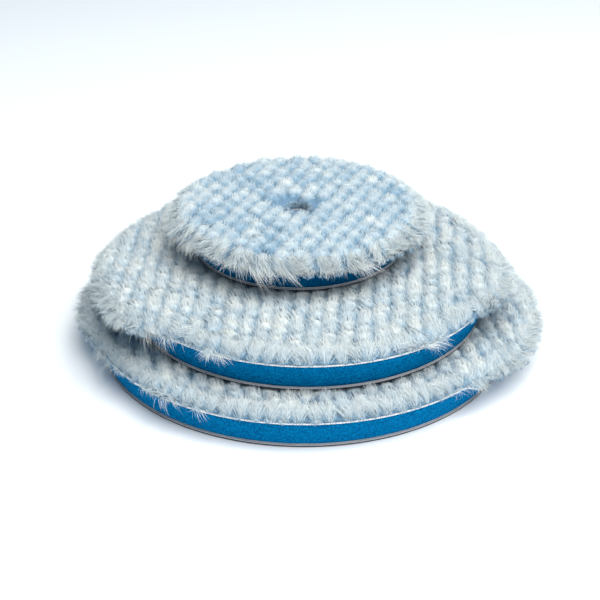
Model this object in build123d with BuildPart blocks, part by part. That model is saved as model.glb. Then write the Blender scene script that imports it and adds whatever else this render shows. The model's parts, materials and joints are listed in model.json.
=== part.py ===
from build123d import *
import os
from collections import namedtuple

# A set of three wool polishing pads, stacked loose with the largest at the bottom.
# Each pad is a laminate, from the machine side up: loop fabric, adhesive film, foam,
# adhesive film, knitted ground, and the cut pile of a white and a blue yarn.
# Millimetres, +Z up. The origin is the centre of the largest pad's loop face.

# Layers, the same in every pad
loop_height = 1.2
film_height = 0.2
foam_height = 10.6
knit_height = 0.8
pile_height = 5.2
belly_height = 2.4          # how far up the pile reaches its widest

# Radii, as steps from the pad's face radius, which is where the foam meets the wool
foam_taper = 4.0        # the foam widens this much from the loop face to the wool face
film_inset = 0.4        # the films stop short of the edge
pile_overhang = 6.0     # the pile leans out past the foam
bore_radius = 5.0       # centring hole, punched through the whole laminate

# Eased edges: the foam and loop fabric are rounded, the pile's rim is bevelled
foam_edge = 0.5
loop_edge = 0.3
pile_shoulder = 1.2

# The knitted pile: courses of white yarn with a narrower blue course between each pair
course_pitch = 6.1
blue_width = 1.7
blue_height = 3.4
white_root_height = 1.6     # the white yarn's roots run under the blue courses
crest_bevel = 1.0
groove_lead = 0.2          # the grooves are cut this far past the pile's top

# Each pad: its name, face radius, centre and the direction its courses run in
Pad = namedtuple("Pad", "name face_radius x y course_angle")
pads = [
    Pad("large", 85.0, 0.0, 0.0, 100.0),
    Pad("medium", 73.0, 1.3, -2.9, 86.0),
    Pad("small", 46.0, -2.1, 12.0, 6.0),
]
stack_gap = 0.3         # between one pad's pile and the loop face that rests on it

loop_level = 0.0
lower_film_level = loop_level + loop_height
foam_level = lower_film_level + film_height
upper_film_level = foam_level + foam_height
knit_level = upper_film_level + film_height
pile_level = knit_level + knit_height
pad_height = pile_level + pile_height


def washer(plane, radius, height):
    """A flat disc with the centring hole, standing on the plane."""
    with BuildPart() as disc:
        with BuildSketch(plane):
            Circle(radius)
            Circle(bore_radius, mode=Mode.SUBTRACT)
        extrude(amount=height)
    return disc.part


def loop_fabric(pad, base):
    """The machine side: a thin looped textile with a softened lower rim."""
    with BuildPart() as fabric:
        add(washer(base.offset(loop_level), pad.face_radius - foam_taper, loop_height))
        rims = fabric.edges().filter_by(GeomType.CIRCLE).group_by(Axis.Z)[0]
        fillet(rims.sort_by(SortBy.RADIUS)[-1], loop_edge)
    return fabric.part


def adhesive_film(pad, base, level, radius):
    """A bonding film, hidden between two layers."""
    return washer(base.offset(level), radius - film_inset, film_height)


def foam_core(pad, base):
    """The blue foam interface: a shallow cone with eased edges and the centring hole."""
    with BuildPart() as foam:
        with BuildSketch(base.offset(foam_level)):
            Circle(pad.face_radius - foam_taper)
        with BuildSketch(base.offset(upper_film_level)):
            Circle(pad.face_radius)
        loft()
        rims = foam.edges().filter_by(GeomType.CIRCLE)
        fillet(rims, foam_edge)
        with Locations(base.offset(upper_film_level)):
            Hole(bore_radius, depth=2 * foam_height)
    return foam.part


def knit_ground(pad, base):
    """The knitted ground fabric that holds the pile, cut flush with the foam's face."""
    return washer(base.offset(knit_level), pad.face_radius, knit_height)


def pile_envelope(pad, base):
    """The space the whole pile fills: it leans out past the foam, then bevels in to its top."""
    upright = Plane(origin=base.offset(pile_level).origin, x_dir=(1, 0, 0), z_dir=(0, -1, 0))
    belly_radius = pad.face_radius + pile_overhang
    outline = [
        (bore_radius, 0), (pad.face_radius, 0), (belly_radius, belly_height),
        (belly_radius, pile_height), (bore_radius, pile_height),
    ]
    with BuildPart() as envelope:
        with BuildSketch(upright) as profile:
            Polygon(*outline, align=None)
            chamfer(profile.vertices().group_by(Axis.X)[-1], pile_shoulder)
        revolve(axis=Axis(upright.origin, (0, 0, 1)))
    return envelope.part


def course_plane(pad, base):
    """A plane at the courses' ends: its X runs across them, its Y up from the roots."""
    along = base.offset(pile_level).rotated((0, 0, pad.course_angle))
    start = along.origin - along.x_dir * course_reach(pad)
    return Plane(origin=start, x_dir=along.y_dir, z_dir=along.x_dir)


def course_reach(pad):
    """Half the length of a course before it is cut to the pad's outline."""
    return pad.face_radius + pile_overhang + course_pitch


def course_count(pad):
    """How many blue courses stand on each side of the centre: as many as fill the face."""
    return round(pad.face_radius / course_pitch)


def course_sites(pad):
    """Where the blue courses stand, as distances across the courses."""
    side = course_count(pad)
    return [((i + 0.5) * course_pitch, 0) for i in range(-side, side)]


def white_yarn(pad, base):
    """White courses, joined by their roots: the pile less a bevelled groove at each blue one."""
    half = blue_width / 2
    mouth = half + crest_bevel + groove_lead
    top = pile_height + groove_lead
    shoulder = pile_height - crest_bevel
    groove = [
        (-half, white_root_height), (half, white_root_height), (half, shoulder),
        (mouth, top), (-mouth, top), (-half, shoulder),
    ]
    with BuildPart() as yarn:
        add(pile_envelope(pad, base))
        with BuildSketch(course_plane(pad, base)):
            with Locations(*course_sites(pad)):
                Polygon(*groove, align=None)
        extrude(amount=2 * course_reach(pad), mode=Mode.SUBTRACT)
    return yarn.part


def blue_yarn(pad, base):
    """Blue courses: shorter pile that shows in the valleys between the white ones."""
    reach = course_reach(pad)
    height = blue_height - white_root_height
    middle = white_root_height + height / 2
    with BuildPart() as yarn:
        add(pile_envelope(pad, base))
        with BuildSketch(course_plane(pad, base)):
            Rectangle(2 * reach, 3 * pile_height)
            with Locations(*[(across, middle) for across, _ in course_sites(pad)]):
                Rectangle(blue_width, height, mode=Mode.SUBTRACT)
        extrude(amount=2 * reach, mode=Mode.SUBTRACT)
    return yarn.part


def build_pad(pad, level):
    """Every layer of one pad, whose loop face stands at the level, by node name."""
    base = Plane(origin=(pad.x, pad.y, level))
    foot_radius = pad.face_radius - foam_taper
    return {
        "loop_fabric": loop_fabric(pad, base),
        "loop_adhesive": adhesive_film(pad, base, lower_film_level, foot_radius),
        "foam_core": foam_core(pad, base),
        "pile_adhesive": adhesive_film(pad, base, upper_film_level, pad.face_radius),
        "knit_ground": knit_ground(pad, base),
        "white_yarn": white_yarn(pad, base),
        "blue_yarn": blue_yarn(pad, base),
    }


os.makedirs("parts", exist_ok=True)
for order, pad in enumerate(pads):
    level = order * (pad_height + stack_gap)
    for layer, piece in build_pad(pad, level).items():
        piece.label = f"{pad.name}_{layer}"
        export_step(piece, f"parts/{piece.label}.step")
        print(piece.label, round(piece.volume), "mm3", len(piece.solids()), "solids")
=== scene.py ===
import json
import math

import bpy
import numpy as np
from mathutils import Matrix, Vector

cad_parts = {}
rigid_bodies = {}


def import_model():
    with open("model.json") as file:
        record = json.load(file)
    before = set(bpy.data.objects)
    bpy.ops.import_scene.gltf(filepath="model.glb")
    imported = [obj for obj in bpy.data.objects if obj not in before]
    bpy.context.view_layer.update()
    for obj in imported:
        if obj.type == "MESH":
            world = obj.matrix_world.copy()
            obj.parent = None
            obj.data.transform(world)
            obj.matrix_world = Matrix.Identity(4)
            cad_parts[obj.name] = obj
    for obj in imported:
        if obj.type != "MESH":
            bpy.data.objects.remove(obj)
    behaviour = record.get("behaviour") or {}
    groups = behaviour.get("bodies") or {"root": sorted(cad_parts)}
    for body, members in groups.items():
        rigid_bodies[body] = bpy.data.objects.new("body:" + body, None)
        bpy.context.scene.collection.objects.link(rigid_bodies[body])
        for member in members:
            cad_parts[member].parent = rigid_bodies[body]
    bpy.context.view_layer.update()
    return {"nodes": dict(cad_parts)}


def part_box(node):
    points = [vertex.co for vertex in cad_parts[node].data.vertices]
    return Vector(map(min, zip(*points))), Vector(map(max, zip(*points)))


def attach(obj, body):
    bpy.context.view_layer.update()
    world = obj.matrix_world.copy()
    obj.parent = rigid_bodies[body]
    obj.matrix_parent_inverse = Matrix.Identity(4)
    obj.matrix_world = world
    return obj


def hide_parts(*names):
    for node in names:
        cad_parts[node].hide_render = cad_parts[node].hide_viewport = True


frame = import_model()
mm = 0.001

# Places come from the CAD nodes. Angles are in degrees, seen from above, and -90 faces the viewer.
# tuftPitch runs along a course and rowPitch across it, in mm; plump is a tuft's half width over each pitch.
# napAngle is the way the tips lean, and strandLength a share of the usual length.
# brushedArc is the stretch of rim, as (middle, half width), where the pile is brushed up and the knit shows.
# A negative half width leaves no such stretch.
# Elsewhere the pile spills out past the foam by spill and sags by sag, in mm, and leans to one side.
# droops are stretches of rim with ends hanging over the foam, as (middle, spread, amount).
padSettings = {
    "large": {"seed": 11, "courseAngle": 100, "tuftPitch": 7.3, "rowPitch": 6.1, "blueShare": 0.26,
              "napAngle": 110, "plump": (0.54, 0.54), "strandLength": 1.0,
              "brushedArc": (-100, 50), "spill": 5.6, "lean": (0, 2.4), "sag": 1.6,
              "droops": [(-152, 9, 0.8), (-128, 6, 1.0), (-116, 2.5, 0.7), (-42, 9, 1.0),
                         (20, 20, 0.4), (95, 20, 0.4), (165, 14, 0.5)]},
    "medium": {"seed": 23, "courseAngle": 86, "tuftPitch": 6.7, "rowPitch": 6.1, "blueShare": 0.28,
               "napAngle": 120, "plump": (0.54, 0.54), "strandLength": 1.0,
               "brushedArc": (-82, 44), "spill": 7.0, "lean": (180, 2.0), "sag": 1.6,
               "droops": [(-138, 11, 1.0), (-118, 4, 0.8), (-54, 7, 0.8), (15, 16, 0.4), (120, 16, 0.4)]},
    "small": {"seed": 37, "courseAngle": 6, "tuftPitch": 7.2, "rowPitch": 6.3, "blueShare": 0.64,
              "napAngle": 70, "plump": (0.50, 0.42), "strandLength": 0.72,
              "brushedArc": (-50, -25), "spill": 3.6, "lean": (90, 0.0), "sag": 2.6,
              "droops": [(-150, 16, 0.9), (-106, 15, 1.5), (-66, 13, 0.9), (-24, 9, 0.5),
                         (60, 16, 0.4), (150, 14, 0.5)]},
}
padOrder = ["large", "medium", "small"]


def unit(v):
    return v / np.maximum(np.linalg.norm(v, axis=-1, keepdims=True), 1e-9)


def padPlace(name):
    # the pad's centre, levels and radii in metres, read from its CAD nodes
    knitLow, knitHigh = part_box(f"{name}_knit_ground")
    foamLow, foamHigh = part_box(f"{name}_foam_core")
    loopLow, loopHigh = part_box(f"{name}_loop_fabric")
    _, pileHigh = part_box(f"{name}_white_yarn")
    return {
        "centre": np.array([(knitLow.x + knitHigh.x) / 2, (knitLow.y + knitHigh.y) / 2]),
        "faceRadius": (knitHigh.x - knitLow.x) / 2,
        "footRadius": (loopHigh.x - loopLow.x) / 2,
        "loopLevel": loopLow.z, "loopTop": loopHigh.z,
        "foamLevel": foamLow.z, "foamTop": foamHigh.z,
        "knitLevel": knitLow.z, "pileLevel": knitHigh.z, "crestLevel": pileHigh.z,
    }


places = {name: padPlace(name) for name in padOrder}
boreRadius = 5.0 * mm     # the centring hole


def makePiece(name, body, points, faceSizes, corners, material, tint=None, normals=None):
    # one mesh from whole arrays: points (n, 3), the corner count of each face, and all corners in a row
    # normals, where given, are the directions that the points are lit from
    mesh = bpy.data.meshes.new(name)
    mesh.vertices.add(len(points))
    mesh.vertices.foreach_set("co", points.astype(np.float32).ravel())
    mesh.loops.add(len(corners))
    mesh.loops.foreach_set("vertex_index", corners.astype(np.int32))
    mesh.polygons.add(len(faceSizes))
    starts = np.concatenate([[0], np.cumsum(faceSizes)[:-1]])
    mesh.polygons.foreach_set("loop_start", starts.astype(np.int32))
    mesh.polygons.foreach_set("use_smooth", np.full(len(faceSizes), True))
    if tint is not None:
        mesh.attributes.new("tint", "FLOAT", "POINT").data.foreach_set("value", tint.astype(np.float32))
    mesh.update(calc_edges=True)
    if normals is not None:
        mesh.normals_split_custom_set_from_vertices(normals)
    mesh.materials.append(material)
    piece = bpy.data.objects.new(name, mesh)
    bpy.context.scene.collection.objects.link(piece)
    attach(piece, body)
    return piece


def turnedGrid(rows, columns):
    # faces of a grid closed both ways: a profile that returns to its start, carried round a full turn
    r, c = np.meshgrid(np.arange(rows), np.arange(columns), indexing="ij")
    below, right = (r + 1) % rows, (c + 1) % columns
    quads = np.stack([r * columns + c, r * columns + right, below * columns + right, below * columns + c], -1)
    return np.full(rows * columns, 4), quads.reshape(-1, 4).ravel()


def turned(place, radius, level, columns):
    # carries a profile (radius, level) round the pad's axis; both may be (rows,) or (rows, columns)
    angle = np.linspace(0, 2 * math.pi, columns, endpoint=False)[None, :]
    radius = np.broadcast_to(radius.reshape(len(radius), -1), (len(radius), columns))
    level = np.broadcast_to(level.reshape(len(level), -1), (len(level), columns))
    x = place["centre"][0] + radius * np.cos(angle)
    y = place["centre"][1] + radius * np.sin(angle)
    return np.stack([x, y, level], -1).reshape(-1, 3)


# materials: each reads Object coordinates, or the tint that its mesh carries
def newMaterial(name, roughness, sheen=0.0):
    material = bpy.data.materials.new(name)
    material.use_nodes = True
    shader = material.node_tree.nodes["Principled BSDF"]
    shader.inputs["Roughness"].default_value = roughness
    shader.inputs["Sheen Weight"].default_value = sheen
    shader.inputs["Specular IOR Level"].default_value = 0.02    # none of these finishes shines
    return material, material.node_tree, shader


def noiseNode(tree, scale, detail=3.0):
    place = tree.nodes.new("ShaderNodeTexCoord")
    noise = tree.nodes.new("ShaderNodeTexNoise")
    noise.inputs["Scale"].default_value = scale
    noise.inputs["Detail"].default_value = detail
    tree.links.new(place.outputs["Object"], noise.inputs["Vector"])
    return noise.outputs["Fac"]


def rampNode(tree, source, stops):
    ramp = tree.nodes.new("ShaderNodeValToRGB")
    while len(ramp.color_ramp.elements) < len(stops):
        ramp.color_ramp.elements.new(0.5)
    for element, (position, colour) in zip(ramp.color_ramp.elements, stops):
        element.position = position
        element.color = (*colour, 1)
    tree.links.new(source, ramp.inputs["Fac"])
    return ramp.outputs["Color"]


def bumpNode(tree, shader, source, strength, distance):
    bump = tree.nodes.new("ShaderNodeBump")
    bump.inputs["Strength"].default_value = strength
    bump.inputs["Distance"].default_value = distance
    tree.links.new(source, bump.inputs["Height"])
    tree.links.new(bump.outputs["Normal"], shader.inputs["Normal"])


def mixedTint(tree, noiseScale, noiseShare):
    # the mesh's own tint, moved up or down a little by fine noise
    attribute = tree.nodes.new("ShaderNodeAttribute")
    attribute.attribute_name = "tint"
    centred = tree.nodes.new("ShaderNodeMath")
    centred.operation = "MULTIPLY_ADD"
    centred.inputs[1].default_value = noiseShare
    centred.inputs[2].default_value = -noiseShare / 2
    tree.links.new(noiseNode(tree, noiseScale), centred.inputs[0])
    total = tree.nodes.new("ShaderNodeMath")
    total.operation = "ADD"
    tree.links.new(attribute.outputs["Fac"], total.inputs[0])
    tree.links.new(centred.outputs[0], total.inputs[1])
    return total.outputs[0]


# each finish's colours, as (place on the ramp, colour) from its darkest to its palest
finishColours = {
    # the wool's dark end is the blue yarn darkened by painted shade, for the valleys between tufts
    "wool": [(0.0, (0.068, 0.140, 0.225)), (0.35, (0.220, 0.345, 0.450)),
             (0.65, (0.475, 0.545, 0.575)), (0.95, (0.690, 0.700, 0.655))],
    "foam": [(0.36, (0.0, 0.080, 0.21)), (0.50, (0.0, 0.135, 0.325)), (0.64, (0.0, 0.20, 0.44))],
    # the loop's dark end is painted shade, for the lower band of the fabric's edge under the rim
    "loop": [(0.30, (0.030, 0.032, 0.038)), (0.75, (0.38, 0.39, 0.42))],
    "knit": [(0.30, (0.55, 0.62, 0.70)), (0.55, (0.92, 0.92, 0.91))],
    "film": [(0.3, (0.60, 0.58, 0.55)), (0.7, (0.76, 0.74, 0.71))],
}


def woolMaterial(name, noiseScale, noiseShare):
    material, tree, shader = newMaterial(name, roughness=0.95, sheen=0.1)
    tint = mixedTint(tree, noiseScale, noiseShare)
    tree.links.new(rampNode(tree, tint, finishColours["wool"]), shader.inputs["Base Color"])
    return material


def foamMaterial():
    material, tree, shader = newMaterial("blueFoam", roughness=0.95)
    grain = noiseNode(tree, scale=1500, detail=4)
    tree.links.new(rampNode(tree, grain, finishColours["foam"]), shader.inputs["Base Color"])
    bumpNode(tree, shader, grain, strength=0.5, distance=0.3 * mm)
    return material


def loopMaterial():
    material, tree, shader = newMaterial("loopTextile", roughness=0.9, sheen=0.2)
    tint = mixedTint(tree, noiseScale=2200, noiseShare=0.5)
    tree.links.new(rampNode(tree, tint, finishColours["loop"]), shader.inputs["Base Color"])
    bumpNode(tree, shader, noiseNode(tree, scale=900, detail=4), strength=0.7, distance=0.5 * mm)
    return material


def knitMaterial():
    material, tree, shader = newMaterial("knitTextile", roughness=0.9, sheen=0.2)
    grain = noiseNode(tree, scale=1800)
    tree.links.new(rampNode(tree, grain, finishColours["knit"]), shader.inputs["Base Color"])
    bumpNode(tree, shader, grain, strength=0.5, distance=0.2 * mm)
    return material


def filmMaterial():
    material, tree, shader = newMaterial("bondingFilm", roughness=0.45)
    grain = noiseNode(tree, scale=400)
    tree.links.new(rampNode(tree, grain, finishColours["film"]), shader.inputs["Base Color"])
    return material


foam, loop, knit, film = foamMaterial(), loopMaterial(), knitMaterial(), filmMaterial()
bedWool = woolMaterial("woolBed", noiseScale=900, noiseShare=0.18)
strandWool = woolMaterial("woolStrand", noiseScale=700, noiseShare=0.14)
print("materials made")


def columnsFor(radius, pitch):
    return int(round(2 * math.pi * radius / pitch))


# the laminate under the pile
foamSettings = {"sideRows": 16, "capRows": 10, "columnPitch": 0.8 * mm, "grain": 0.05 * mm,
                "rounding": 0.5 * mm, "roundingPower": 12}


def makeFoam(name, place, rng):
    # profile: out along the bottom, up the tapered side with rounded rims, in along the top, down the bore
    s = foamSettings
    columns = columnsFor(place["faceRadius"], s["columnPitch"])
    side = np.linspace(0, 1, s["sideRows"])
    cap = np.linspace(0, 1, s["capRows"], endpoint=False)
    height = place["foamTop"] - place["foamLevel"]
    foot, face = place["footRadius"], place["faceRadius"]
    rounding = s["rounding"] * (np.abs(2 * side - 1) ** s["roundingPower"])
    radius = np.concatenate([boreRadius + cap * (foot - boreRadius), foot + side * (face - foot) - rounding,
                             face - cap[1:] * (face - boreRadius), [boreRadius]])
    level = np.concatenate([np.full(len(cap), place["foamLevel"]), place["foamLevel"] + side * height,
                            np.full(len(cap), place["foamTop"])])
    radius = np.repeat(radius[:, None], columns, 1)
    wall = slice(len(cap) + 1, len(cap) + len(side) - 1)
    radius[wall] += rng.normal(0, s["grain"], radius[wall].shape)
    sizes, corners = turnedGrid(len(radius), columns)
    piece = makePiece(f"{name}_foam", f"{name}_pad",
                      turned(place, radius, level, columns), sizes, corners, foam)
    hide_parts(f"{name}_foam_core")


knitSettings = {"beadPitch": 1.1 * mm, "beadHeight": 0.28 * mm, "columnsPerBead": 6, "edgeRows": 7,
                "edgeDepth": 0.2 * mm}


def makeKnit(name, place):
    # a flat ring whose outer edge is a row of beads: radius swells as |sin| once for each stitch
    s = knitSettings
    beads = columnsFor(place["faceRadius"], s["beadPitch"])
    columns = beads * s["columnsPerBead"]
    angle = np.linspace(0, 2 * math.pi, columns, endpoint=False)
    swell = np.abs(np.sin(angle * beads / 2)) * s["beadHeight"]
    low, high = place["knitLevel"], place["pileLevel"]
    turn = np.linspace(-math.pi / 2, math.pi / 2, s["edgeRows"])[:, None]
    halfHeight = (high - low) / 2
    bore = np.full((1, columns), boreRadius)
    edge = place["faceRadius"] - s["edgeDepth"] + np.cos(turn) * (s["edgeDepth"] + swell[None, :])
    radius = np.concatenate([bore, edge, bore])
    level = np.concatenate([[low], (low + high) / 2 + halfHeight * np.sin(turn[:, 0]), [high]])
    sizes, corners = turnedGrid(len(radius), columns)
    piece = makePiece(f"{name}_knit", f"{name}_pad",
                      turned(place, radius, level, columns), sizes, corners, knit)
    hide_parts(f"{name}_knit_ground")


# edgeLevels are shares of the fabric's thickness, and the edge tints the tones there; the two lowest tones
# are painted shade below the pale band
loopSettings = {"columnPitch": 1.3 * mm, "ringPitch": 1.6 * mm, "looseLoops": 0.22 * mm, "rimInset": 0.3 * mm,
                "topInset": 0.05 * mm, "edgeLevels": [0.2, 0.5, 0.62, 1.0],
                "underTint": 0.42, "edgeTintsAndShade": [0.22, 0.25, 0.80, 0.60]}


def makeLoopFabric(name, place, rng):
    # pale textile over its looped face, whose edge is darkened by painted shade; the underside rises and
    # falls with the loops, above its level
    s = loopSettings
    foot = place["footRadius"]
    columns = columnsFor(foot, s["columnPitch"])
    rings = int((foot - boreRadius) / s["ringPitch"])
    under = np.linspace(boreRadius, foot - s["rimInset"], rings)
    edge = np.array([foot, foot, foot, foot - s["topInset"]])
    radius = np.concatenate([under, edge, [boreRadius]])
    thick = place["loopTop"] - place["loopLevel"]
    edgeLevel = place["loopLevel"] + thick * np.array(s["edgeLevels"])
    level = np.concatenate([np.full(rings, place["loopLevel"]), edgeLevel, [place["loopTop"]]])
    level = np.repeat(level[:, None], columns, 1)
    level[1:rings] += rng.random((rings - 1, columns)) * s["looseLoops"]
    tint = np.concatenate([np.full(rings, s["underTint"]), s["edgeTintsAndShade"], s["edgeTintsAndShade"][-1:]])
    tint = np.repeat(tint[:, None], columns, 1).ravel()
    sizes, corners = turnedGrid(len(radius), columns)
    piece = makePiece(f"{name}_loops", f"{name}_pad",
                      turned(place, radius, level, columns), sizes, corners, loop, tint)
    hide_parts(f"{name}_loop_fabric")


# the pile: a bed of tufts, then strands of both yarns
# wavers are (mm, waves in a turn) and run round the rim
# rimFall and holeFall are the share of the pile's height left at its edges
pileSettings = {
    "valley": 2.4 * mm, "openCrest": 0.8 * mm, "coverClear": 0.35 * mm, "openRun": 7 * mm,
    "brushedOverhang": 0.5 * mm, "arcEnds": 25, "wavers": [(0.5, 3), (0.45, 8)],
    "edgeRun": 5.0 * mm, "rimFall": 0.2, "holeRun": 1.2 * mm, "holeFall": 0.45, "sagRun": 3 * mm,
}


def coverAbove(name):
    # the pad that rests on this one, as (centre, foot radius), or None for the top one
    order = padOrder.index(name)
    if order + 1 == len(padOrder):
        return None
    upper = places[padOrder[order + 1]]
    return upper["centre"], upper["footRadius"]


def openness(name, xy):
    # 0 under the pad above, rising to 1 over openRun past its edge
    cover = coverAbove(name)
    if cover is None:
        return np.ones(len(xy))
    away = np.linalg.norm(xy - cover[0], axis=1) - cover[1]
    return np.clip(away / pileSettings["openRun"], 0, 1)


def degreesFrom(angle, middle):
    return np.abs(np.degrees(np.angle(np.exp(1j * (angle - math.radians(middle))))))


def spillAt(name, angle):
    # 0 where the rim is brushed up, rising smoothly to 1 where the pile leans out over the foam
    middle, half = padSettings[name]["brushedArc"]
    t = np.clip((degreesFrom(angle, middle) - half) / pileSettings["arcEnds"], 0, 1)
    return t * t * (3 - 2 * t)


def hangAt(name, angle):
    # how much of the rim hangs over the foam: the highest of a row of bell curves
    return np.max([amount * np.exp(-(degreesFrom(angle, middle) / spread) ** 2)
                   for middle, spread, amount in padSettings[name]["droops"]], axis=0)


def rimRadius(name, place, angle):
    # the bed's outer edge at each angle: the spill, its lean to one side, and a slow waver
    p = padSettings[name]
    way, reach = p["lean"]
    waver = sum(size * np.sin(waves * angle + (k + 1) * p["seed"])
                for k, (size, waves) in enumerate(pileSettings["wavers"]))
    leanOut = p["spill"] + reach * np.cos(angle - math.radians(way)) + waver
    return place["faceRadius"] + pileSettings["brushedOverhang"] + leanOut * mm * spillAt(name, angle)


def settle(name, place, xy, height):
    # the pile's level: its height falls as a quarter ellipse at rim and bore, and it sags past the foam
    s = pileSettings
    fromCentre = xy - place["centre"]
    out = np.linalg.norm(fromCentre, axis=-1)
    angle = np.arctan2(fromCentre[..., 1], fromCentre[..., 0])
    edge = rimRadius(name, place, angle)
    outer = np.clip((edge - out) / s["edgeRun"], 0, 1)
    inner = np.clip((out - boreRadius) / s["holeRun"], 0, 1)
    atRim = s["rimFall"] + (1 - s["rimFall"]) * np.sqrt(1 - (1 - outer) ** 2)
    atHole = s["holeFall"] + (1 - s["holeFall"]) * np.sqrt(1 - (1 - inner) ** 2)
    sagStart = place["faceRadius"] - s["sagRun"]
    past = np.clip((out - sagStart) / (edge - sagStart), 0, 1)
    sag = padSettings[name]["sag"] * mm * spillAt(name, angle) * past ** 2
    return place["pileLevel"] + height * atRim * atHole - sag


# margins and insets are (where brushed up, less where spilled), in mm in from the rim
tuftSettings = {
    "jitter": 0.42 * mm, "turnJitter": 0.15, "sizeRange": (0.9, 1.1), "liftRange": 1.0 * mm,
    "toneJitter": 0.10, "rimMargin": (5.0, 2.4), "holeMargin": 2.6 * mm, "domeEdge": 0.85, "domePower": 0.6,
    "rimPitch": 5.4 * mm, "rimJitter": 0.2, "rimInset": (3.4, 1.0), "rimHalf": (4.6 * mm, 2.6 * mm),
    "rimDrop": 0.9 * mm, "rimTone": 0.6,
}


def tuftsOf(name, place, rng):
    # a brick lattice of tufts, then one ring of lower ones that carry the rim's locks
    s, p = tuftSettings, padSettings[name]
    reach = int(place["faceRadius"] / (p["rowPitch"] * mm)) + 2
    i, j = np.meshgrid(np.arange(-reach, reach + 1), np.arange(-reach, reach + 1))
    along = ((i + 0.5 * (j % 2)) * p["tuftPitch"] * mm).ravel() + rng.normal(0, s["jitter"], i.size)
    across = (j * p["rowPitch"] * mm).ravel() + rng.normal(0, s["jitter"], i.size)
    a = math.radians(p["courseAngle"])
    xy = np.stack([along * math.cos(a) - across * math.sin(a), along * math.sin(a) + across * math.cos(a)], 1)
    out, around = np.linalg.norm(xy, axis=1), np.arctan2(xy[:, 1], xy[:, 0])
    brushedMargin, spilledLess = s["rimMargin"]
    margin = (brushedMargin - spilledLess * spillAt(name, around)) * mm
    xy = xy[(out < rimRadius(name, place, around) - margin) & (out > boreRadius + s["holeMargin"])]
    alongPlump, acrossPlump = p["plump"]
    half = np.repeat([[p["tuftPitch"] * alongPlump * mm, p["rowPitch"] * acrossPlump * mm]], len(xy), 0)
    turn = np.full(len(xy), a) + rng.normal(0, s["turnJitter"], len(xy))
    rimCount = columnsFor(place["faceRadius"], s["rimPitch"])
    rimShift = rng.uniform(-s["rimJitter"], s["rimJitter"], rimCount)
    rimAngle = (np.arange(rimCount) + rimShift) * 2 * math.pi / rimCount
    brushedInset, spilledLess = s["rimInset"]
    rimOut = rimRadius(name, place, rimAngle) - (brushedInset - spilledLess * spillAt(name, rimAngle)) * mm
    rimXy = rimOut[:, None] * np.stack([np.cos(rimAngle), np.sin(rimAngle)], 1)
    rimHalf = np.repeat([s["rimHalf"]], rimCount, 0)
    isRim = np.concatenate([np.zeros(len(xy), bool), np.ones(rimCount, bool)])
    white = np.clip(rng.normal(1 - 0.5 * p["blueShare"], s["toneJitter"], len(isRim)), 0, 1)
    return {
        "xy": np.concatenate([xy, rimXy]) + place["centre"],
        "half": np.concatenate([half, rimHalf]) * rng.uniform(*s["sizeRange"], (len(isRim), 1)),
        "turn": np.concatenate([turn, rimAngle]), "isRim": isRim,
        "white": np.where(isRim, s["rimTone"], white),
        "lift": rng.uniform(-0.5, 0.5, len(isRim)) * s["liftRange"] - isRim * s["rimDrop"],
    }


def domeAt(square):
    # a tuft's share of its full height, from the square of the distance over its half width
    return np.clip(1 - tuftSettings["domeEdge"] * square, 0, 1) ** tuftSettings["domePower"]


def crestAt(name, place, xy, lift):
    # the tufts' height over the knit: pressed under the pad above, and fuller in the open
    s = pileSettings
    pressed = place["crestLevel"] - place["pileLevel"] - s["coverClear"]
    free = openness(name, xy)
    return pressed + free * (s["openCrest"] + s["coverClear"] + lift) + (1 - free) * np.minimum(lift, 0)


def bedHeight(name, place, tufts, xy):
    # the highest of all tufts at each point, each one a low ellipsoid on the valley level
    s = pileSettings
    crest = crestAt(name, place, tufts["xy"], tufts["lift"])
    share, white = np.zeros(len(xy)), np.zeros(len(xy))
    top = np.full(len(xy), s["valley"])
    pointsAtOnce = 4000    # keeps the working arrays small
    for start in range(0, len(xy), pointsAtOnce):
        now = slice(start, start + pointsAtOnce)
        block = xy[now, None, :] - tufts["xy"][None]
        c, n = np.cos(tufts["turn"]), np.sin(tufts["turn"])
        u = (block[..., 0] * c + block[..., 1] * n) / tufts["half"][:, 0]
        v = (block[..., 1] * c - block[..., 0] * n) / tufts["half"][:, 1]
        dome = domeAt(u * u + v * v)
        heights = s["valley"] + (crest - s["valley"]) * dome
        best = heights.argmax(1)
        row = np.arange(len(best))
        top[now] = heights[row, best]
        share[now] = dome[row, best]
        white[now] = tufts["white"][best]
    return top, share, white


# the hem is where the bed's underside ends, moved in by hemIn and out again by hemOut where the pile spills
# the valley tint is the blue yarn darkened by painted shade, and tuftTint lifts it toward each crest
bedSettings = {"pitch": 0.92 * mm, "extraRings": 6, "crowding": 1.06, "hemIn": 0.4, "hemOut": 0.8,
               "hemTint": 0.3, "valleyBlueAndShade": 0.14, "tuftTint": 0.76}


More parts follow.
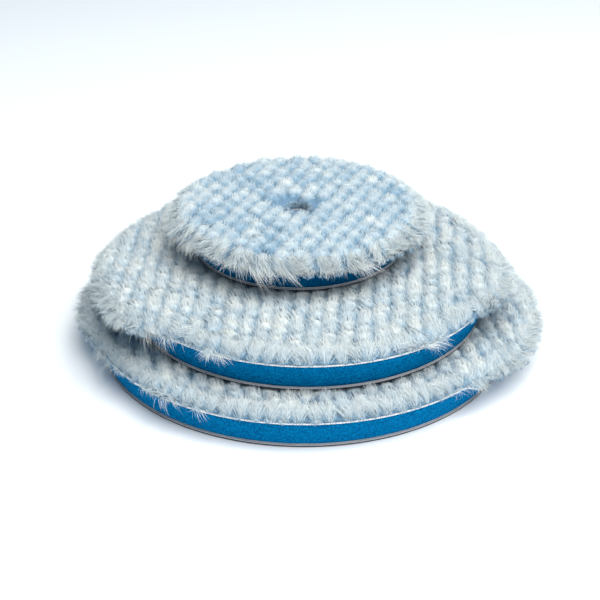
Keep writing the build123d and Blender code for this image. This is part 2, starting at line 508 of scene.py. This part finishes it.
def makeBed(name, place, tufts):
    # closed both ways: out along the knit, up and in over the tufts, and down the bore
    s = bedSettings
    columns = columnsFor(place["faceRadius"], s["pitch"])
    rings = int((place["faceRadius"] - boreRadius) / s["pitch"]) + s["extraRings"]
    spread = np.linspace(0, 1, rings)[:, None]
    angle = np.linspace(0, 2 * math.pi, columns, endpoint=False)
    outer = rimRadius(name, place, angle)[None, :]
    radius = outer - (outer - boreRadius) * spread ** s["crowding"]
    xy = place["centre"] + (radius[..., None] * np.stack([np.cos(angle), np.sin(angle)], -1)).reshape(-1, 2)
    height, share, white = bedHeight(name, place, tufts, xy)
    top = settle(name, place, xy, height)
    top, share, white = (x.reshape(rings, columns) for x in (top, share, white))
    hem = place["faceRadius"] + (-s["hemIn"] + s["hemOut"] * spillAt(name, angle)) * mm
    allRadius = np.concatenate([np.full((1, columns), boreRadius), hem[None, :], radius])
    level = np.concatenate([np.full((2, columns), place["pileLevel"]), top])
    # dark in the valleys and pale on the crests: the blue yarn between tufts plus painted shade there
    topTint = s["valleyBlueAndShade"] + s["tuftTint"] * share * white
    tint = np.concatenate([np.full((2, columns), s["hemTint"]), topTint])
    sizes, corners = turnedGrid(len(allRadius), columns)
    piece = makePiece(f"{name}_tufts", f"{name}_pad",
                      turned(place, allRadius, level, columns), sizes, corners, bedWool, tint.ravel())
    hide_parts(f"{name}_white_yarn")


strandSettings = {"width": 0.26 * mm, "widthRange": (0.6, 1.25), "tipTaper": 0.75, "normalLift": 0.6}


def strandMesh(name, body, strands, stations):
    # a strand's line is root + length (start t + (end - start) t^2 / 2); its ribbon faces outwards and tapers
    s = strandSettings
    t = np.linspace(0, 1, stations)[None, :, None]
    root, start, end = (strands[k][:, None, :] for k in ("root", "start", "end"))
    length, width = strands["length"][:, None, None], strands["width"][:, None, None]
    line = root + length * (start * t + (end - start) * t * t / 2)
    line[..., 2] = np.minimum(line[..., 2], strands["ceiling"][:, None])
    line[..., 2] = np.maximum(line[..., 2], strands["floor"][:, None])
    across = unit(np.cross(end, strands["facing"][:, None, :]))
    halfWidth = width * (1 - s["tipTaper"] * t) / 2
    left, right = line - across * halfWidth, line + across * halfWidth
    count, per = len(line), 2 * stations - 1
    points = np.empty((count, per, 3))
    points[:, 0:-1:2], points[:, 1:-1:2], points[:, -1] = left[:, :-1], right[:, :-1], line[:, -1]
    tint = np.empty((count, per))
    along = strands["tint"][:, None] + strands["tipShift"][:, None] * t[0, :, 0]
    tint[:, 0:-1:2], tint[:, 1:-1:2], tint[:, -1] = along[:, :-1], along[:, :-1], along[:, -1]
    base = np.arange(count)[:, None] * per
    quads = np.concatenate([base + np.array([k, k + 1, k + 3, k + 2]) for k in range(0, per - 3, 2)])
    tips = base + np.array([per - 3, per - 2, per - 1])
    sizes = np.concatenate([np.full(len(quads), 4), np.full(len(tips), 3)])
    corners = np.concatenate([quads.ravel(), tips.ravel()])
    # lit as the tuft it stands on
    normals = np.repeat(unit(strands["facing"] + [0, 0, s["normalLift"]]), per, 0)
    return makePiece(name, body, points.reshape(-1, 3), sizes, corners,
                     strandWool, tint.ravel(), normals)


def bundle(rng, root, start, end, length, facing, tint, tipShift, ceiling, floor, widthShare=1.0):
    n = len(root)
    width = strandSettings["width"] * widthShare * rng.uniform(*strandSettings["widthRange"], n)
    return {"root": root, "start": unit(start), "end": unit(end), "length": length, "facing": unit(facing),
            "tint": tint, "tipShift": np.full(n, tipShift), "ceiling": ceiling, "floor": np.full(n, floor),
            "width": width}


def mix(weights, ways):
    return sum(weight * way for weight, way in zip(weights, ways))


def byRim(weights, spill, hang):
    # a weight on the rim: its base, and what spilling and hanging each add to it
    base, perSpill, perHang = weights
    return base + perSpill * spill + perHang * hang


noCeiling = 1.0    # a level far above every strand


def ceilingAt(name, place, xy):
    # strands stay below the loop face that rests on them, and are free in the open
    leastOpen, clear = 0.02, 0.05 * mm
    return np.where(openness(name, xy) > leastOpen, noCeiling, place["crestLevel"] + clear)


# densities are strands to a square mm of tuft, and lengths are in mm
# strand directions are weights of (away from the tuft's middle, the nap, up, a random way)
faceSettings = {
    "openDensity": 4.9, "coveredDensity": 0.6, "blueDensity": 0.5, "blueRing": (0.85, 1.15),
    "rootDepth": 0.3 * mm, "tuftRadius": 3.3 * mm, "rimWhite": 0.8, "napByTuft": 0.35, "napByStrand": 0.22,
    "start": (0.9, 0, 1, 0.10), "whiteEnd": (-0.55, 0.9, 0.30, 0.12), "blueEnd": (0, 0.4, 1, 0.3),
    "facing": (1, 0, 1, 0.16), "lengths": (2.2, 3.9), "blueLength": 0.7,
    # a white strand's tone at a tuft's foot is the blue there darkened by painted shade; the blue tints are
    # darkened by it too
    "whiteFootBlueAndShade": 0.12, "crestTint": 0.62, "tintJitter": 0.06, "blueTints": (0.08, 0.26),
    "whiteTip": 0.22, "blueTip": 0.12,
}


def faceStrands(name, place, tufts, rng, yarn):
    # white strands stand on each tuft's dome and curl in over its crest; blue ones stand round its foot
    s, p = faceSettings, padSettings[name]
    valley = pileSettings["valley"]
    isWhite = yarn == "white"
    xy, half, turn, lift = tufts["xy"], tufts["half"], tufts["turn"], tufts["lift"]
    white = np.maximum(tufts["white"], s["rimWhite"] * tufts["isRim"])
    area = math.pi * half[:, 0] * half[:, 1] / mm ** 2
    density = s["coveredDensity"] + (s["openDensity"] - s["coveredDensity"]) * (openness(name, xy) > 0)
    count = (area * density * (1.0 if isWhite else s["blueDensity"] * p["blueShare"])).astype(int)
    which = np.repeat(np.arange(len(xy)), count)
    n = len(which)
    out = np.sqrt(rng.random(n)) if isWhite else rng.uniform(*s["blueRing"], n)
    around = rng.uniform(0, 2 * math.pi, n)
    u, v = out * np.cos(around) * half[which, 0], out * np.sin(around) * half[which, 1]
    c, d = np.cos(turn[which]), np.sin(turn[which])
    offset = np.stack([u * c - v * d, u * d + v * c], 1)
    root2 = xy[which] + offset
    crest = crestAt(name, place, xy, lift)[which]
    dome = domeAt(out ** 2)
    height = valley + (crest - valley) * dome
    root = np.column_stack([root2, settle(name, place, root2, height) - s["rootDepth"]])
    away = np.column_stack([offset / s["tuftRadius"], np.zeros(n)])
    napShift = rng.normal(0, s["napByTuft"], len(xy))[which] + rng.normal(0, s["napByStrand"], n)
    nap = math.radians(p["napAngle"]) + napShift
    napWay = np.column_stack([np.cos(nap), np.sin(nap), np.zeros(n)])
    ways = (away, napWay, np.array([[0, 0, 1.0]]), rng.normal(0, 1, (n, 3)))
    length = rng.uniform(*s["lengths"], n) * mm * p["strandLength"] * (1.0 if isWhite else s["blueLength"])
    # white strands go dark toward the tuft's foot and blue ones sit in the valleys, both toned with painted
    # shade between tufts
    if isWhite:
        tint = s["whiteFootBlueAndShade"] + s["crestTint"] * dome * white[which] + rng.normal(0, s["tintJitter"], n)
    else:
        tint = rng.uniform(*s["blueTints"], n)
    return bundle(rng, root, mix(s["start"], ways), mix(s[f"{yarn}End"], ways), length,
                  mix(s["facing"], ways), tint, s[f"{yarn}Tip"], ceilingAt(name, place, root2),
                  place["foamLevel"])


def ringWays(angle):
    # the outward and sideways directions at each angle, and up
    zero = np.zeros(len(angle))
    outWay = np.column_stack([np.cos(angle), np.sin(angle), zero])
    sideWay = np.column_stack([-np.sin(angle), np.cos(angle), zero])
    return outWay, sideWay, np.array([[0, 0, 1.0]])


# lengths and rises are in mm; a direction's three weights are its base and what spill and hang each add
# brushedRise and spilledRise are a root's height at the rim, deeper in, and at random
# bedSink is how far below the valleys a root may sit, and how much further where brushed up
lockSettings = {
    "strands": 205, "lengths": (6.0, 11.5), "lockLengths": (0.85, 1.12), "innerShort": 0.45,
    "lengthByRim": (1, -0.36, 0.35), "hangOfSpill": 0.25, "hangRange": (0.2, 1.1), "hangFree": (1.2, 0.3),
    "fanLimit": 2.2, "fanWidth": 0.75, "fanByDepth": 1.2, "fanBySpill": 0.5, "depthPower": 1.2,
    "depthRun": 4.6 * mm, "brushedOut": 0.2 * mm, "spilledIn": 0.8 * mm, "brushedRise": (-0.25, 2.8, 0.6),
    "spilledRise": (0, 1.6, 0.3), "bedSink": (0.1, 1.1), "swirl": (0.28, 0.25), "startSwirl": 0.4,
    "sideWeight": (0.24, -0.14, 0), "startOut": (0.30, 0.60, 0), "startUp": (0.95, -0.30, -0.3),
    "endOut": (-1.0, 1.55, 0), "endUp": (0.12, -0.15, -1.1), "startLoose": 0.06, "endLoose": 0.16,
    "facingOut": 0.9, "facingInner": 0.5, "facingSpill": 0.75, "facingFan": 0.30,
    "tint": 0.38, "tintByDepth": 0.10, "tintJitter": 0.10, "edgeShade": 0.16, "edgeFrom": 1.4,
    "tipShift": 0.42, "overCrest": 1.3, "overLoops": 0.6 * mm,
}


def rimStrands(name, place, tufts, rng):
    # brushed locks gather at the knit's edge, fan as they climb and lie down inwards; spilled ones lean out
    s, valley = lockSettings, pileSettings["valley"]
    xy = tufts["xy"][tufts["isRim"]] - place["centre"]
    angle = np.arctan2(xy[:, 1], xy[:, 0])
    which = np.repeat(np.arange(len(angle)), s["strands"])
    n = len(which)
    spill = spillAt(name, angle)[which]
    lockHang = hangAt(name, angle) + s["hangOfSpill"] * spillAt(name, angle)
    hang = (lockHang * rng.uniform(*s["hangRange"], len(angle)))[which]
    fan = np.clip(rng.normal(0, 1, n), -s["fanLimit"], s["fanLimit"])
    depth = rng.random(n) ** s["depthPower"]
    fanRun = s["fanWidth"] * fan * (1 + s["fanByDepth"] * depth + s["fanBySpill"] * spill)
    a = angle[which] + fanRun * mm / place["faceRadius"]
    outWay, sideWay, up = ringWays(a)
    brushedOut = place["faceRadius"] + s["brushedOut"]
    spilledOut = rimRadius(name, place, a) - s["spilledIn"]
    rootOut = (1 - spill) * brushedOut + spill * spilledOut
    root = (rootOut - s["depthRun"] * depth)[:, None] * outWay
    root[:, :2] += place["centre"]
    brushed = place["pileLevel"] + mix(s["brushedRise"], (1, depth, rng.random(n))) * mm
    atRim, byDepth, atRandom = s["spilledRise"]
    spilledHeight = valley + (atRim + byDepth * depth) * mm
    spilled = settle(name, place, root[:, :2], spilledHeight) + atRandom * mm * rng.random(n)
    leastSink, brushedSink = s["bedSink"]
    bed = settle(name, place, root[:, :2], valley) - (leastSink + brushedSink * (1 - spill)) * mm
    root[:, 2] = np.maximum((1 - spill) * brushed + spill * spilled, bed)
    swirlBase, swirlBySpill = s["swirl"]
    swirl = (rng.normal(0, 1, len(angle))[which] * (swirlBase + swirlBySpill * spill))[:, None]
    hangGain, hangLess = s["hangFree"]
    # a hanging lock spills too
    spill = np.maximum(spill, np.clip(hangGain * hang - hangLess, 0, 1))[:, None]
    hang = hang[:, None]
    side = byRim(s["sideWeight"], spill, hang) * fan[:, None] * sideWay
    start = byRim(s["startOut"], spill, hang) * outWay + byRim(s["startUp"], spill, hang) * up + side
    start = start + s["startLoose"] * rng.normal(0, 1, (n, 3)) + s["startSwirl"] * spill * swirl * sideWay
    end = byRim(s["endOut"], spill, hang) * outWay + byRim(s["endUp"], spill, hang) * up + side
    end = end + swirl * sideWay + s["endLoose"] * rng.normal(0, 1, (n, 3))
    length = rng.uniform(*s["lengths"], n) * (1 - s["innerShort"] * depth)
    length = length * rng.uniform(*s["lockLengths"], len(angle))[which] * mm
    length = length * byRim(s["lengthByRim"], spill[:, 0], hang[:, 0])
    # a short-piled pad's locks are shorter too
    length = length * (1 + padSettings[name]["strandLength"]) / 2
    facingOut = (s["facingOut"] - s["facingInner"] * depth[:, None]) * (1 - s["facingSpill"] * spill)
    facing = facingOut * outWay + up + s["facingFan"] * fan[:, None] * sideWay
    tint = s["tint"] + s["tintByDepth"] * depth + s["tintJitter"] * rng.random(n)
    # a lock's outer strands get painted shade, for the gaps between locks
    tint = np.clip(tint - s["edgeShade"] * (np.abs(fan) > s["edgeFrom"]), 0, 1)
    top = place["crestLevel"] + rng.uniform(0.0, s["overCrest"], n) * mm
    ceiling = np.minimum(ceilingAt(name, place, root[:, :2]), top)
    return bundle(rng, root, start, end, length, facing, tint, s["tipShift"], ceiling,
                  place["loopLevel"] + s["overLoops"])


# lengths are in mm; a weight's three numbers are its base and what spill and hang each add
fringeSettings = {
    "pitch": 1.5 * mm, "perLock": (9, 20), "spillShare": 1.1, "hangShare": (0.10, 1.1),
    "hangRange": (0.25, 1.1), "leastHang": 0.12, "spread": 1.0 * mm, "spilledIn": 1.2 * mm,
    "rootRun": (-0.2, 0.8), "rise": 0.6 * mm, "loosened": 2.4,
    "sweep": 0.40, "lockSide": 0.14, "strandSide": 0.09,
    "startOut": (0.45, 0.55, 0), "startUp": (0.6, 0, -0.4), "endOut": (0.35, 0.6, -0.60),
    "endUp": (0.45, -0.4, -1.9), "endSide": (2.0, 0, 1.2), "facingOut": (0.3, 0, 0.9),
    "reach": 2.6, "spillReach": 3.2, "hangReach": 13.0, "lengthRange": (0.3, 1.2),
    "tints": (0.5, 0.9), "tipShift": 0.25, "widthShare": 0.42, "overLoops": 0.6 * mm,
}


def fringeStrands(name, place, rng):
    # loose ends: a short fuzz that stands past the rim, and fine wisps over the foam where the rim hangs
    s = fringeSettings
    locks = columnsFor(place["faceRadius"], s["pitch"])
    angle = np.sort(rng.uniform(0, 2 * math.pi, locks))
    hang = hangAt(name, angle)
    hang = hang * rng.uniform(*s["hangRange"], locks) * (hang > s["leastHang"])
    spillLock = spillAt(name, angle)
    leastShare, hangShare = s["hangShare"]
    share = np.maximum(s["spillShare"] * spillLock, leastShare + hangShare * hang)
    perLock = (rng.integers(*s["perLock"], locks) * share).astype(int)
    which = np.repeat(np.arange(locks), perLock)
    n = len(which)
    a = angle[which] + rng.normal(0, s["spread"], n) / place["faceRadius"]
    outWay, sideWay, up = ringWays(a)
    fall, spill = hang[which][:, None], spillLock[which][:, None]
    spilledOut = rimRadius(name, place, a)[:, None] - s["spilledIn"]
    rootOut = (1 - spill) * place["faceRadius"] + spill * spilledOut
    root = (rootOut - rng.uniform(*s["rootRun"], n)[:, None] * mm) * outWay
    root[:, :2] += place["centre"]
    loosened = spill[:, 0] * rng.uniform(0.0, s["loosened"], n) * mm
    root[:, 2] = settle(name, place, root[:, :2], s["rise"] + loosened)
    lockSide = s["sweep"] * hang + rng.normal(0, s["lockSide"], locks)    # hanging wisps all sweep one way
    side = lockSide[which][:, None] + rng.normal(0, s["strandSide"], n)[:, None]
    start = byRim(s["startOut"], np.maximum(spill, fall), fall) * outWay
    start = start + byRim(s["startUp"], spill, fall) * up + side * sideWay
    end = byRim(s["endOut"], spill, fall) * outWay + byRim(s["endUp"], spill, fall) * up
    end = end + byRim(s["endSide"], spill, fall) * side * sideWay
    reach = s["reach"] + s["spillReach"] * spillLock + s["hangReach"] * hang * (1 - 0.5 * spillLock)
    length = reach[which] * rng.uniform(*s["lengthRange"], n) * mm
    facing = byRim(s["facingOut"], spill, fall) * outWay + up
    return bundle(rng, root, start, end, length, facing, rng.uniform(*s["tints"], n), s["tipShift"],
                  np.full(n, noCeiling), place["loopLevel"] + s["overLoops"], s["widthShare"])


# rootOut and rootRise are in mm, from the bore's wall and the knit
# strand directions are weights of (outwards, up, a random way)
holeSettings = {"strands": 1300, "rootOut": (-0.2, 1.2), "rootRise": (0.0, 4.2), "loose": 0.25,
                "start": (-0.4, 0.5, 1), "end": (-0.8, -0.4, 1), "facing": (-0.3, 1, 0),
                "lengths": (1.0, 2.2), "tints": (0.15, 0.5), "tipShift": 0.2}


def boreStrands(name, place, rng):
    # fibres that lean in over the centring hole and half close it
    s = holeSettings
    n = s["strands"]
    a = rng.uniform(0, 2 * math.pi, n)
    outWay, _, up = ringWays(a)
    root = (boreRadius + rng.uniform(*s["rootOut"], n)[:, None] * mm) * outWay
    root[:, :2] += place["centre"]
    root[:, 2] = place["knitLevel"] + rng.uniform(*s["rootRise"], n) * mm
    ways = (outWay, up, rng.normal(0, s["loose"], (n, 3)))
    length = rng.uniform(*s["lengths"], n) * mm
    return bundle(rng, root, mix(s["start"], ways), mix(s["end"], ways), length, mix(s["facing"], ways),
                  rng.uniform(*s["tints"], n), s["tipShift"], ceilingAt(name, place, root[:, :2]),
                  place["knitLevel"])


def partOf(strands, chosen):
    return {key: value[chosen] for key, value in strands.items()}


def makeStrands(name, place, tufts, rng):
    # white strands are split into numbered pieces of at most pieceLimit strands
    body, pieceLimit = f"{name}_pad", 36000
    faceStations, edgeStations = 4, 5    # points along a strand
    white = faceStrands(name, place, tufts, rng, "white")
    count = len(white["root"])
    pieces = max(1, math.ceil(count / pieceLimit))
    for k in range(pieces):
        strandMesh(f"{name}_white_pile_{k + 1}", body,
                   partOf(white, slice(k * count // pieces, (k + 1) * count // pieces)), faceStations)
    blue = strandMesh(f"{name}_blue_pile", body,
                      faceStrands(name, place, tufts, rng, "blue"), faceStations)
    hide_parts(f"{name}_blue_yarn")
    strandMesh(f"{name}_rim_pile", body, rimStrands(name, place, tufts, rng), edgeStations)
    strandMesh(f"{name}_fringe", body, fringeStrands(name, place, rng), edgeStations)
    strandMesh(f"{name}_hole_fibres", body, boreStrands(name, place, rng), faceStations)


for name in padOrder:
    place = places[name]
    rng = np.random.default_rng(padSettings[name]["seed"])
    makeFoam(name, place, rng)
    makeKnit(name, place)
    makeLoopFabric(name, place, rng)
    tufts = tuftsOf(name, place, rng)
    makeBed(name, place, tufts)
    makeStrands(name, place, tufts, rng)
    for layer in ("loop_adhesive", "pile_adhesive"):
        node = frame["nodes"][f"{name}_{layer}"]
        node.data.materials.clear()
        node.data.materials.append(film)
    print(name, "pad made with", len(tufts["xy"]), "tufts")

# floor, light and camera
stageSettings = {"floorSize": 6.0, "floorTone": (0.83, 0.84, 0.85), "worldTone": (0.54, 0.79, 1.0),
                 "worldStrength": 0.34, "keyPlace": (0.26, -0.32, 0.95), "keySize": 1.1, "keyPower": 21.8,
                 "keyTone": (1.0, 0.985, 0.96), "fillPlace": (0.1, -1.1, 0.8), "fillSize": 0.8,
                 "fillPower": 1.5, "fillTone": (1.0, 1.0, 1.0), "aimLevel": 0.02}


def makeFloor():
    bpy.ops.mesh.primitive_plane_add(size=stageSettings["floorSize"])
    floor = bpy.context.object
    floor.name = "floor"
    material, _, shader = newMaterial("floorPaper", roughness=0.9)
    shader.inputs["Base Color"].default_value = (*stageSettings["floorTone"], 1)
    floor.data.materials.append(material)


def makeLight(name):
    # a square lamp turned to face the middle of the stack
    s = stageSettings
    light = bpy.data.lights.new(f"{name}Light", "AREA")
    light.color = s[f"{name}Tone"]
    light.size, light.energy = s[f"{name}Size"], s[f"{name}Power"]
    lamp = bpy.data.objects.new(f"{name}Light", light)
    lamp.location = s[f"{name}Place"]
    aim = np.array([0, 0, s["aimLevel"]]) - np.array(s[f"{name}Place"])
    yaw, pitch = math.atan2(aim[1], aim[0]), math.atan2(math.hypot(aim[0], aim[1]), -aim[2])
    lamp.rotation_euler = (pitch, 0, yaw - math.pi / 2)
    bpy.context.scene.collection.objects.link(lamp)


cameraSettings = {"elevation": 29.66, "distance": 0.6, "aside": -1.54 * mm, "lens": 87.6, "sensorWidth": 36,
                  "shiftUp": 0.0617, "clip": (0.01, 20)}


def makeCamera():
    s = cameraSettings
    elevation, distance = math.radians(s["elevation"]), s["distance"]
    camera = bpy.data.cameras.new("camera")
    camera.lens, camera.sensor_width = s["lens"], s["sensorWidth"]
    camera.shift_y = s["shiftUp"]
    camera.clip_start, camera.clip_end = s["clip"]
    seat = bpy.data.objects.new("camera", camera)
    seat.location = (s["aside"], -distance * math.cos(elevation), distance * math.sin(elevation))
    seat.rotation_euler = (math.pi / 2 - elevation, 0, 0)
    bpy.context.scene.collection.objects.link(seat)
    bpy.context.scene.camera = seat


def makeWorld():
    world = bpy.data.worlds.new("studio")
    world.use_nodes = True
    background = world.node_tree.nodes["Background"]
    background.inputs["Color"].default_value = (*stageSettings["worldTone"], 1)
    background.inputs["Strength"].default_value = stageSettings["worldStrength"]
    bpy.context.scene.world = world
    bpy.context.scene.view_settings.view_transform = "Standard"


makeFloor()
makeLight("key")
makeLight("fill")
makeWorld()
makeCamera()
print("stage made")

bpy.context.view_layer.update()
triangles = sum(len(piece.data.loops) - 2 * len(piece.data.polygons)
                for piece in bpy.context.scene.objects if piece.type == "MESH" and not piece.hide_render)
print("triangles in all", triangles)
